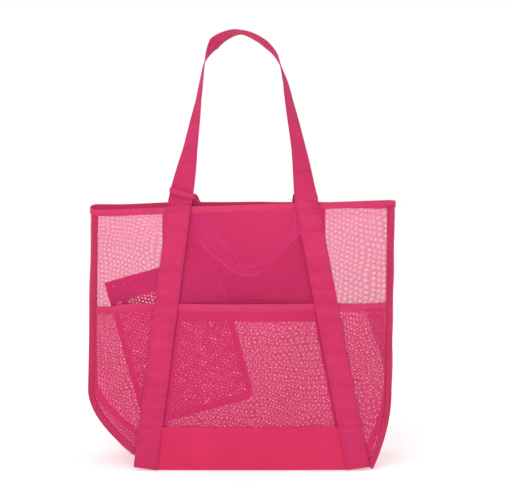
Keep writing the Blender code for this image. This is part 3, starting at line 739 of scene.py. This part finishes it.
pocket = {
    "foot": 0.0060, "top": 0.2500, "underHem": 0.0020, "cloth": 0.0006, "offset": 0.0010,
    "bulge": 0.0105, "bulgeFrom": 0.0680, "least": 0.004, "footBlend": 0.04,
    "dip": 0.0010, "leftDroop": 0.0055, "leftDroopEnds": (-0.215, -0.165),
    "cells": (14, 6, 34, 6, 14), "rows": 48,  # the three pockets, and the two straps between them
    "hem": 0.0016, "hemHeight": 0.0125, "hemStitches": (0.0022, 0.0098), "hemProud": 0.0002,
}


def knots(z):  # the pocket's ends and the straps' edges, from left to right
    left = strapX(-1, z)
    right = strapX(1, z)
    start = edgeX(-1, z) + bag["gap"]
    end = edgeX(1, z) - bag["gap"]
    least = pocket["least"]
    return (
        start, max(left - halfWebbing, start + least), max(left + halfWebbing, start + 2 * least),
        min(right - halfWebbing, end - 2 * least), min(right + halfWebbing, end - least), end,
    )


def columnX(u, z):
    k = knots(z)
    cell = min(int(u), len(k) - 2)
    return k[cell] + (k[cell + 1] - k[cell]) * (u - cell)


def pocketOffset(u, z):
    cell = min(int(u), 4)
    if cell % 2:  # held flat under a strap
        return pocket["offset"]
    rise = min(1.0, max(0.0, (z - pocket["bulgeFrom"]) / (pocket["top"] - pocket["bulgeFrom"])))
    return pocket["offset"] + pocket["bulge"] * rise ** 1.5 * sin(pi * (u - cell)) ** 0.8


def pocketDrop(x, z):  # the hem hangs lower at the left and dips a little between its fixings
    dip = pocket["dip"] * drift(x * 12.0, 7.0, 0.0)
    droop = pocket["leftDroop"] * (1 - smoothStep(*pocket["leftDroopEnds"], x))
    return (z / pocket["top"]) ** 4 * (dip - droop)


pocketColumns = []
for cell, count in enumerate(pocket["cells"]):
    pocketColumns += [cell + k / count for k in range(count)]
pocketColumns.append(len(pocket["cells"]))


def pocketSpot(u, row, offset):
    x = columnX(u, row)
    z = row + floorZ(x) * max(0.0, 1.0 - row / pocket["footBlend"]) + pocketDrop(x, row)
    return onPanel(x, z, -1, pocketOffset(u, row) + offset)


def sewPocket():
    rows = spread(pocket["foot"], pocket["top"] + pocket["underHem"], pocket["rows"])

    def place(u, row, far):
        return pocketSpot(u, row, pocket["cloth"] if far else 0.0)

    def layAt(u, row):
        return columnX(u, row) + 0.0007, row + 0.0011

    piece = layCloth("frontPocket", pocketColumns, rows, place, layAt, "pocketNet", stands=["front_pocket"])


pleat = {
    "low": 0.1560, "right": 0.2320, "lean": 0.0340, "inset": 0.0010,
    "lift": 0.0010, "foldLift": 0.0012, "layTurn": (0.94, 0.34),
}


def sewPleat():  # the spare width of the pocket's mesh is folded over at the right
    low = pleat["low"]
    high = pocket["top"]

    def place(share, row, far):
        diagonal = pleat["right"] - pleat["lean"] * (row - low) / (high - low)
        x = diagonal + (edgeX(1, row) - pleat["inset"] - diagonal) * share
        u = 4 + (x - knots(row)[4]) / (knots(row)[5] - knots(row)[4])
        lift = pleat["lift"] + pleat["foldLift"] * (1 - share) ** 4 + (pocket["cloth"] if far else 0.0)
        return onPanel(x, row + pocketDrop(x, row), -1, pocketOffset(min(u, 4.9999), row) + lift)

    def layAt(share, row):
        spot = place(share, row, False)
        c, s = pleat["layTurn"]
        return spot.x * c + spot.z * s, spot.z * c - spot.x * s

    rows = spread(low + 0.001, high, 24)
    piece = layCloth("pocketPleat", spread(0, 1, 8), rows, place, layAt, "pocketNet")


def sewHem():
    middle = pocket["top"] + pocket["hemHeight"] / 2
    path = [pocketSpot(u, middle, pocket["hem"] / 2) for u in pocketColumns]
    layBand("pocketHem", path, toFront, pocket["hemHeight"], pocket["hem"], "tape", stands=["pocket_hem"])
    rows = []
    for height in pocket["hemStitches"]:
        z = pocket["top"] + height
        rows.append([(pocketSpot(u, z, pocket["hem"] + pocket["hemProud"]), toFront) for u in pocketColumns])
    sewRows("hemStitches", rows, "bag")


band = {
    "foot": 0.0009, "top": 0.0680, "offset": 0.0024, "cloth": 0.0008, "underStraps": 0.010,
    "fold": 0.0007, "foldFrom": (0.0600, 0.0620), "stitches": (0.0590, 0.0655), "stitchOffset": 0.0010,
}


def sewBottomBand():
    def xAt(share, z):
        left = strapX(-1, z) + halfWebbing
        right = strapX(1, z) - halfWebbing
        return left + (right - left) * share

    def place(share, z, far):
        fold = band["fold"] * smoothStep(*band["foldFrom"], z)  # its top edge is turned under
        lift = band["cloth"] + fold if far else 0.0
        return onPanel(xAt(share, z), z, -1, band["offset"] + lift)

    def layAt(share, z):
        return xAt(share, z), z

    columns = spread(-band["underStraps"], 1 + band["underStraps"], 48)
    heights = spread(band["foot"], band["top"], 16)
    piece = layCloth("bottomBand", columns, heights, place, layAt, "cloth", stands=["front_bottom_band"])
    offset = band["offset"] + band["stitchOffset"]
    rows = []
    for z in band["stitches"]:
        rows.append([(onPanel(xAt(share, z), z, -1, offset), toFront) for share in spread(0.01, 0.99, 60)])
    sewRows("bandStitches", rows, "bag")


inner = {
    "left": -0.1350, "right": 0.1410, "bottom": 0.2190, "top": 0.4126, "across": 56, "up": 38,
    "start": 0.0014, "bulge": 0.0080, "cloth": 0.0008,
    "hem": 0.0005, "hemTop": (0.4020, 0.4030), "hemFoot": (0.2250, 0.2260),
    "stitchInset": 0.0040, "stitchOffset": 0.0014,
}


def innerSpot(x, z, extra):
    across = (x - inner["left"]) / (inner["right"] - inner["left"])
    rise = (z - inner["bottom"]) / (inner["top"] - inner["bottom"])
    swell = min(1.0, rise * 1.6) * max(0.0, sin(pi * across)) ** 0.7
    return onPanel(x, z, 1, -inner["start"] - inner["bulge"] * swell - extra)


def sewInnerPocket():
    columns = spread(inner["left"], inner["right"], inner["across"])
    rows = spread(inner["bottom"], inner["top"], inner["up"])

    def place(x, z, far):
        hemmed = smoothStep(*inner["hemTop"], z) + 1 - smoothStep(*inner["hemFoot"], z)
        return innerSpot(x, z, inner["cloth"] + inner["hem"] * hemmed if far else 0.0)

    piece = layCloth("innerPocket", columns, rows, place, None, "innerClothPaintedShade", stands=["inner_pocket"])
    inset = inner["stitchInset"]
    left = inner["left"] + inset
    right = inner["right"] - inset
    foot = inner["bottom"] + inset
    head = inner["top"] - inset * 2.4
    sides = [(left, z) for z in spread(head, foot, 20)] + [(x, foot) for x in spread(left, right, 30)]
    sides += [(right, z) for z in spread(foot, head, 20)]
    hem = [(x, head) for x in spread(left, right, 30)]
    rows = []
    for route in (sides, hem):
        rows.append([(innerSpot(x, z, inner["stitchOffset"]), toFront) for x, z in route])
    sewRows("innerPocketStitches", rows, "bag")


sewPocket()
sewPleat()
sewHem()
sewBottomBand()
sewInnerPocket()
print("pockets sewn")

binding = {"stitchInset": 0.0024, "belowRim": 0.0006, "soft": 0.42, "around": 90, "ends": 12, "up": 80}


def rimPath(height):  # round the bag at the rim, with the way out at each point
    start = edgeX(-1, bag["rimMiddle"]) - bag["bindingWidth"] / 2
    end = edgeX(1, bag["rimMiddle"]) + bag["bindingWidth"] / 2
    wider = rearOut(bag["rimMiddle"])
    row = spread(start, end, binding["around"])
    rearRow = spread(start - wider, end + wider, binding["around"])
    up = Vector((0, 0, height))
    front = [onPanel(x, rim(x, -1), -1, 0.0) + up for x in row]
    rear = [onPanel(x, rim(x, 1), 1, 0.0) + up for x in reversed(rearRow)]
    path = list(front)
    for sideX, a, b in ((1, front[-1], rear[0]), (-1, rear[-1], front[0])):
        if sideX < 0:
            path += rear
        for k in range(1, binding["ends"]):
            share = k / binding["ends"]
            spot = a.lerp(b, share)
            spot.x += sideX * gusset["bulge"] * sin(pi * share) ** 0.8
            path.append(spot)
    outs = []
    for k in range(len(path)):
        forward = path[(k + 1) % len(path)] - path[k - 1]
        outs.append(Vector((forward.y, -forward.x, 0.0)).normalized())
    return path, outs


def bindRim():
    path, outs = rimPath(-bag["bindingWidth"] / 2)
    layBand(
        "rimBinding", path, outs, bag["bindingWidth"], bag["binding"], "tape",
        stands=["rim_binding"], closed=True, square=binding["soft"],
    )
    path, outs = rimPath(-bag["bindingWidth"] + binding["stitchInset"])
    lift = bag["binding"] / 2 + stitch["proud"]
    rows = []
    for sign in (1, -1):
        row = [(spot + out * sign * lift, out * sign) for spot, out in zip(path, outs)]
        rows.append(row + row[:1])
    sewRows("rimStitches", rows, "bag")


def bindSeam(name, sideX, side, node):
    top = rim(sideEdge(sideX), side) - bag["bindingWidth"] - binding["belowRim"]
    faceOut = Vector((0, side, 0))
    path = []
    stitches = []
    for z in spread(seamFoot(sideX), top, binding["up"]):
        spot, out = seamPoint(sideX, z, side)
        middle = spot + out * (bag["gap"] + bag["bindingWidth"] / 2)
        path.append(onPanel(middle.x, middle.y, side, 0.0))
        inner = spot + out * (bag["gap"] + binding["stitchInset"])
        stitches.append((onPanel(inner.x, inner.y, side, bag["binding"] / 2 + stitch["proud"]), faceOut))
    layBand(
        name, path, faceOut, bag["bindingWidth"], bag["binding"], "sideTapePaintedShade",
        stands=[node], square=binding["soft"],
    )
    return stitches


corners = []  # words and signs of the bag's four upright seams, and of its four straps
for wordX, sideX in (("Left", -1), ("Right", 1)):
    for word, side in (("Front", -1), ("Rear", 1)):
        corners.append((word + wordX, f"{word.lower()}_{wordX.lower()}", sideX, side))

bindRim()
seamRows = []
for words, ending, sideX, side in corners:
    seamRows.append(bindSeam(f"seamBinding{words}", sideX, side, f"seam_binding_{ending}"))
sewRows("seamStitches", seamRows, "bag")
print("bindings sewn")

strap = {
    "frontOffset": 0.0036, "rearOffset": 0.0020, "foot": 0.0008, "overRim": 0.0040, "creases": 0.0005,
    "across": (-1, -0.975, -0.9, -0.6, -0.3, 0, 0.3, 0.6, 0.9, 0.975, 1), "up": 96, "edgeThin": 0.6,
    "cornerEnds": (-0.1315, 0.1660), "footRise": 0.13, "footBlend": 0.04,
    "stitchHalf": 0.0165, "stitchFoot": 0.016, "boxLow": 0.3720, "boxHigh": 0.4030, "boxGap": 0.0055,
}


def strapTop(sideX, side):
    level = frontRim(strapX(sideX, bag["rimMiddle"])) if side < 0 else bag["rearRim"]
    return level + strap["overRim"]


def sewStrap(name, sideX, side, node):
    start = strap["frontOffset"] if side < 0 else strap["rearOffset"]

    def spotAt(across, z, offset):
        x = strapX(sideX, z) + across * halfWebbing
        crease = strap["creases"] * drift(sideX * 2.0, side * 3.0, z * 46.0 + across * 0.6)
        return onPanel(x, z, side, start + offset + crease)

    def place(across, z, far):
        thick = bag["webbing"] * (1 - strap["edgeThin"] * abs(across) ** 24)
        x = strapX(sideX, z) + across * halfWebbing
        past = max(0.0, strap["cornerEnds"][0] - x) + max(0.0, x - strap["cornerEnds"][1])
        lift = past * strap["footRise"] * max(0.0, 1.0 - z / strap["footBlend"])  # follows the rounded corner
        return spotAt(across, z + lift, thick if far else 0.0)

    def layAt(across, z):
        return across * halfWebbing, z

    heights = spread(strap["foot"], strapTop(sideX, side), strap["up"])
    layCloth(name, strap["across"], heights, place, layAt, "webbing", stands=[node])
    surface = bag["webbing"] + stitch["proud"]
    edge = strap["stitchHalf"] / halfWebbing
    low = strap["boxLow"]
    high = strap["boxHigh"]

    def sewn(route):
        return [(spotAt(across, z, surface), Vector((0, side, 0))) for across, z in route]

    rows = [sewn([(across, z) for z in spread(strap["stitchFoot"], low, 60)]) for across in (-edge, edge)]
    route = [(across, low) for across in spread(-edge, edge, 10)]
    route += [(edge, z) for z in spread(low, high, 10)]
    route += [(across, high) for across in spread(edge, -edge, 10)]
    route += [(-edge, z) for z in spread(high, low, 10)]
    above = [(across, high + strap["boxGap"]) for across in spread(-edge, edge, 10)]
    return rows, [sewn(route), sewn(above)]


strapRows = []
for words, ending, sideX, side in corners:
    rows, box = sewStrap(f"strap{words}", sideX, side, f"strap_{ending}")
    strapRows += rows
    sewRows(f"boxStitches{words}", box, "bag", stands=[f"box_stitch_{ending}"])
sewRows("strapStitches", strapRows, "bag")
print("straps sewn")

handle = {
    "loop": (
        (-0.0935, 0.4442), (-0.0815, 0.5063), (-0.0679, 0.5860), (-0.0631, 0.6176), (-0.0571, 0.6499),
        (-0.0425, 0.6761), (-0.0193, 0.6907), (0.0008, 0.6938), (0.0200, 0.6872), (0.0401, 0.6741),
        (0.0572, 0.6544), (0.0699, 0.6176), (0.0762, 0.5860), (0.0922, 0.5063), (0.1011, 0.4442),
    ),
    "turn": (0, 10, 49, 74, 79, 86, 112, 100, 90, 95, 98, 92, 77, 69, 50, 22, 0),  # degrees, foot to foot
    "perSpan": 7, "around": 24, "overStraps": 0.0001, "blendLow": 0.4200, "blendHigh": 0.4460,
}


def handleDepth():
    z = bag["rimMiddle"]
    return -(belly(strapX(-1, z), z) + strap["frontOffset"] + bag["webbing"] / 2)


def makeFrontHandle():
    y = handleDepth()
    feet = [strapTop(sideX, -1) + handle["overStraps"] for sideX in (-1, 1)]
    loop = [(strapX(-1, feet[0]), feet[0]), *handle["loop"], (strapX(1, feet[1]), feet[1])]
    path = smoothPath([(x, y, z) for x, z in loop], handle["perSpan"])
    faces = []
    for k, degrees in enumerate(spreadValues(handle["turn"], handle["perSpan"])):
        forward = headingAt(path, k)
        outward = Vector((-forward.z, 0.0, forward.x))
        turn = radians(degrees)  # past 90 its inner face looks forward
        faces.append(toFront * cos(turn) + outward * sin(turn))
    piece = layBand(
        "frontHandle", path, faces, bag["webbingWidth"], bag["webbing"], "webbing",
        body=None, stands=["front_handle"], around=handle["around"], level=feet,
    )
    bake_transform(piece)


wrap = {
    "centre": (-0.0936, 0.4372), "half": (0.0192, 0.0078), "tilt": 15, "band": 0.0088, "thick": 0.0026,
    "steps": 48, "corner": 0.7, "faceTurn": 0.4, "soft": 0.5,
}
tails = {  # the points each runs through, and its widths there
    "rearHandleTailRight": (
        (
            (-0.0772, -0.0545, 0.4330), (-0.0738, -0.0500, 0.4325),
            (-0.0722, -0.0462, 0.4250), (-0.0702, -0.0450, 0.4140),
        ),
        (0.0075, 0.0080, 0.0120, 0.0200),
    ),
    "rearHandleTailLeft": (
        (
            (-0.0930, -0.0482, 0.4370), (-0.0965, -0.0472, 0.4310),
            (-0.0978, -0.0456, 0.4240), (-0.0980, -0.0440, 0.4170),
        ),
        (0.0090, 0.0120, 0.0150, 0.0190),
    ),
}


def makeWrap():
    centre = Vector((wrap["centre"][0], handleDepth(), wrap["centre"][1]))
    halfX, halfY = wrap["half"]
    path = []
    faces = []
    for k in range(wrap["steps"]):
        angle = 2 * pi * k / wrap["steps"]
        x = copysign(abs(cos(angle)) ** wrap["corner"], cos(angle))
        y = copysign(abs(sin(angle)) ** wrap["corner"], sin(angle))
        lift = -x * halfX * tan(radians(wrap["tilt"]))
        path.append(centre + Vector((x * halfX, y * halfY, lift)))
        faces.append(Vector((x * wrap["faceTurn"], y, 0.0)).normalized())
    piece = layBand(
        "rearHandleWrap", path, faces, wrap["band"], wrap["thick"], "webbing",
        body=None, stands=["rear_handle_wrap"], closed=True, square=wrap["soft"],
    )
    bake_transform(piece)


def makeTails():
    for name, (points, widths) in tails.items():
        path = smoothPath(points, 6)
        tail = layBand(name, path, toFront, spreadValues(widths, 6), bag["webbing"], "webbing", body=None)
        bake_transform(tail)


drop = {
    "path": (
        (0.1045, 0.0385, 0.4200), (0.0990, 0.0290, 0.3852), (0.0835, 0.0190, 0.3640),
        (0.0590, 0.0085, 0.3418), (0.0310, -0.0015, 0.3165), (0.0125, -0.0080, 0.3110),
        (-0.0065, -0.0140, 0.3165), (-0.0275, -0.0240, 0.3375), (-0.0500, -0.0350, 0.3600),
        (-0.0640, -0.0410, 0.3840), (-0.0700, -0.0450, 0.4150),
    ),
    "width": (0.030, 0.032, 0.034, 0.036, 0.036, 0.036, 0.036, 0.034, 0.032, 0.028, 0.021),
    "turn": (0, 62, 76, 74, 66, 60, 55, 42, 26, 14, 0),
    "perSpan": 8, "around": 24,
}


def makeDrop():
    path = smoothPath(drop["path"], drop["perSpan"])
    faces = []
    for k, degrees in enumerate(spreadValues(drop["turn"], drop["perSpan"])):
        forward = headingAt(path, k)
        front = (toFront - forward * toFront.dot(forward)).normalized()
        turn = radians(degrees)
        faces.append(front * cos(turn) + forward.cross(front) * sin(turn))
    piece = layBand(
        "rearHandleDrop", path, faces, spreadValues(drop["width"], drop["perSpan"]), bag["webbing"],
        "hangingWebbingPaintedLight", body=None, stands=["rear_handle_drop"], around=drop["around"],
    )
    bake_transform(piece)


handleReturn = {
    "path": (
        (-0.0980, -0.0440, 0.4180), (-0.0985, -0.0330, 0.4060), (-0.0990, -0.0150, 0.3980),
        (-0.0990, 0.0080, 0.3970), (-0.0985, 0.0260, 0.4040), (-0.0980, 0.0370, 0.4170),
    ),
    "width": 0.020,
}


def makeReturn():
    path = smoothPath(handleReturn["path"], 6)
    up = Vector((0.0, 0.0, 1.0))
    layBand(
        "rearHandleReturn", path, up, handleReturn["width"], bag["webbing"], "webbing",
        stands=["rear_handle_return"],
    )


bend = {
    "inside": 0.0390, "overRim": 0.0048, "height": 0.0080, "foot": 0.0020, "end": 0.4210, "narrows": 0.0060,
    "steps": 20,
}


def makeBend(name, x, node):
    outside = belly(x, bag["rearRim"]) + strap["rearOffset"] + bag["webbing"] / 2
    top = bag["rearRim"] + bend["overRim"]
    middle = (outside + bend["inside"]) / 2
    half = (outside - bend["inside"]) / 2
    path = [Vector((x, outside, top - bend["foot"]))]
    for k in range(bend["steps"] + 1):
        angle = pi * k / bend["steps"]
        path.append(Vector((x, middle + half * cos(angle), top + bend["height"] * sin(angle))))
    path.append(Vector((x, bend["inside"], bend["end"])))
    centre = Vector((x, middle, top))
    faces = [-toFront] + [(spot - centre).normalized() for spot in path[1:-1]] + [toFront]
    widths = spread(bag["webbingWidth"], bag["webbingWidth"] - bend["narrows"], len(path) - 1)
    layBand(name, path, faces, widths, bag["webbing"], "webbing", stands=[node])


makeFrontHandle()
makeWrap()
makeTails()
makeDrop()
makeReturn()
makeBend("rearHandleEndRight", strapX(1, bag["rearRim"]), "rear_handle_end_right")
makeBend("rearHandleEndLeft", strapX(-1, bag["rearRim"]), "rear_handle_end_left")
print("handles made")

pouch = {
    "centre": (-0.1030, 0.0120, 0.1950), "tilt": 15.5, "width": 0.1900, "height": 0.2500, "ripple": 0.0012,
    "border": 0.0110, "borderDepth": 0.0034, "rounding": 0.0110, "soft": 0.5, "underBorder": 0.002,
    "stitchInset": 0.0082, "stitchRounding": 0.0085,
    "near": 0.0008, "far": 0.0015, "puff": 0.0012,  # how far its two lace walls stand from its middle
    "tape": 0.0105, "tapeProud": 0.0002, "tapeStitches": (0.0030, 0.0075), "tapeStitchProud": 0.0003,
    "teeth": 0.0040, "teethReach": 0.0002,
}
tooth = {
    "count": 74, "stagger": 0.0008, "size": (0.0019, 0.0016, 0.0025), "depth": 0.0015,
    "bevel": 0.0003, "ends": 0.004,  # ends is how far the row stops short of the border
}
pouchTurn = Matrix.Rotation(-radians(pouch["tilt"]), 4, "Y")


def pouchSpot(x, y, z):
    ripples = pouch["ripple"] * drift(x * 18.0, 1.0, z * 14.0)
    return Vector(pouch["centre"]) + pouchTurn @ Vector((x, y + ripples, z))


def borderRoute(inset, rounding, perSide=12):  # round the pouch: points, and how much wider the band is
    halfX = pouch["width"] / 2 - inset
    halfZ = pouch["height"] / 2 - inset
    turns = []
    for sideX, sideZ in ((1, 1), (-1, 1), (-1, -1)):
        turns.append((sideX * halfX, sideZ * halfZ, 2 ** 0.5))
    for degrees in range(270, 361, 15):  # only the lower right corner is rounded
        angle = radians(degrees)
        x = halfX - rounding + rounding * cos(angle)
        z = -(halfZ - rounding) + rounding * sin(angle)
        turns.append((x, z, 1.0))
    route = []
    for (x0, z0, wide), (x1, z1, _) in zip(turns, turns[1:] + turns[:1]):
        steps = perSide if hypot(x1 - x0, z1 - z0) > 0.02 else 1
        for k in range(steps):
            share = k / steps
            route.append((x0 + (x1 - x0) * share, z0 + (z1 - z0) * share, 1.0 if k else wide))
    return route


def makeBorder():
    route = borderRoute(pouch["border"] / 2, pouch["rounding"])
    path = [pouchSpot(x, 0.0, z) for x, z, _ in route]
    widths = [pouch["border"] * wider for _, _, wider in route]
    layBand(
        "pouchBorder", path, toFront, widths, pouch["borderDepth"], "cloth",
        "pouch", ["pouch_border"], closed=True, square=pouch["soft"],
    )
    route = borderRoute(pouch["stitchInset"], pouch["stitchRounding"])
    front = pouch["borderDepth"] / 2 + stitch["proud"]
    rows = []
    for sign in (-1, 1):
        rows.append([(pouchSpot(x, sign * front, z), -toFront * sign) for x, z, _ in route + route[:1]])
    sewRows("pouchStitches", rows, "pouch")


innerTop = pouch["height"] / 2 - pouch["border"]  # the border's inner edge, from the pouch's middle
halfLaceX = pouch["width"] / 2 - pouch["border"] + pouch["underBorder"]
halfLaceZ = innerTop + pouch["underBorder"]
tapeLow = innerTop - bag["gap"] - 2 * pouch["tape"] - pouch["teeth"] - 2 * bag["gap"]
tapeHigh = innerTop - bag["gap"]
zipZ = tapeLow + pouch["tape"] + bag["gap"] + pouch["teeth"] / 2


def makeLace(name, low, high, near, far, node, shift):
    def place(x, z, isFar):
        puff = pouch["puff"] * (1 - (x / halfLaceX) ** 2) * (1 - (z / halfLaceZ) ** 2)
        y = far if isFar else near
        return pouchSpot(x, y + copysign(puff, y), z)

    def layAt(x, z):
        return x + shift, z + shift * 0.7

    columns = spread(-halfLaceX, halfLaceX, 28)
    piece = layCloth(name, columns, spread(low, high, 34), place, layAt, "lace", "pouch", [node])


def makeTape(name, low, high, node):
    def place(x, z, isFar):
        return pouchSpot(x, -pouch["far"] - pouch["tapeProud"] if isFar else -pouch["near"], z)

    def layAt(x, z):
        return z, x

    columns = spread(-halfLaceX, halfLaceX, 28)
    layCloth(name, columns, spread(low, high, 4), place, layAt, "tape", "pouch", [node])


def sewTapes():
    lower, upper = pouch["tapeStitches"]
    y = -pouch["far"] - pouch["tapeStitchProud"]
    columns = spread(-halfLaceX, halfLaceX, 20)
    rows = []
    for z in (tapeLow + lower, tapeHigh - pouch["tape"] + upper):
        rows.append([(pouchSpot(x, y, z), toFront) for x in columns])
    sewRows("zipStitches", rows, "pouch")


def makeTeeth():
    bm = bmesh.new()
    reach = pouch["width"] / 2 - pouch["border"] - tooth["ends"]
    shape = pouchTurn @ Matrix.Diagonal((*tooth["size"], 1.0))
    for k in range(tooth["count"]):
        x = -reach + 2 * reach * (k + 0.5) / tooth["count"]
        z = zipZ + (tooth["stagger"] if k % 2 else -tooth["stagger"])
        spot = Matrix.Translation(pouchSpot(x, -tooth["depth"], z))
        bmesh.ops.create_cube(bm, size=1.0, matrix=spot @ shape)
    bmesh.ops.bevel(
        bm, geom=bm.edges[:], offset=tooth["bevel"], affect="EDGES", segments=1, profile=0.5, material=-1,
    )
    finishPiece("zipTeeth", bm, "zipPlastic", "pouch", ["zip_teeth"])


makeBorder()
makeLace("pouchFront", -halfLaceZ, tapeLow - bag["gap"], -pouch["near"], -pouch["far"], "pouch_front", 0.0)
makeLace("pouchBack", -halfLaceZ, halfLaceZ, pouch["near"], pouch["far"], "pouch_back", 0.0005)
makeTape("zipTapeLower", tapeLow, zipZ - pouch["teethReach"], "zip_tape_lower")
makeTape("zipTapeUpper", zipZ + pouch["teethReach"], tapeHigh, "zip_tape_upper")
sewTapes()
makeTeeth()
for name in ("zip_slider", "zip_bail", "zip_pull"):  # CAD pieces that are seen as they are
    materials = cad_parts[name].data.materials
    materials.clear()
    materials.append(looks["zipMetal"])
print("pouch made")

setUpStudio()
print("studio set")
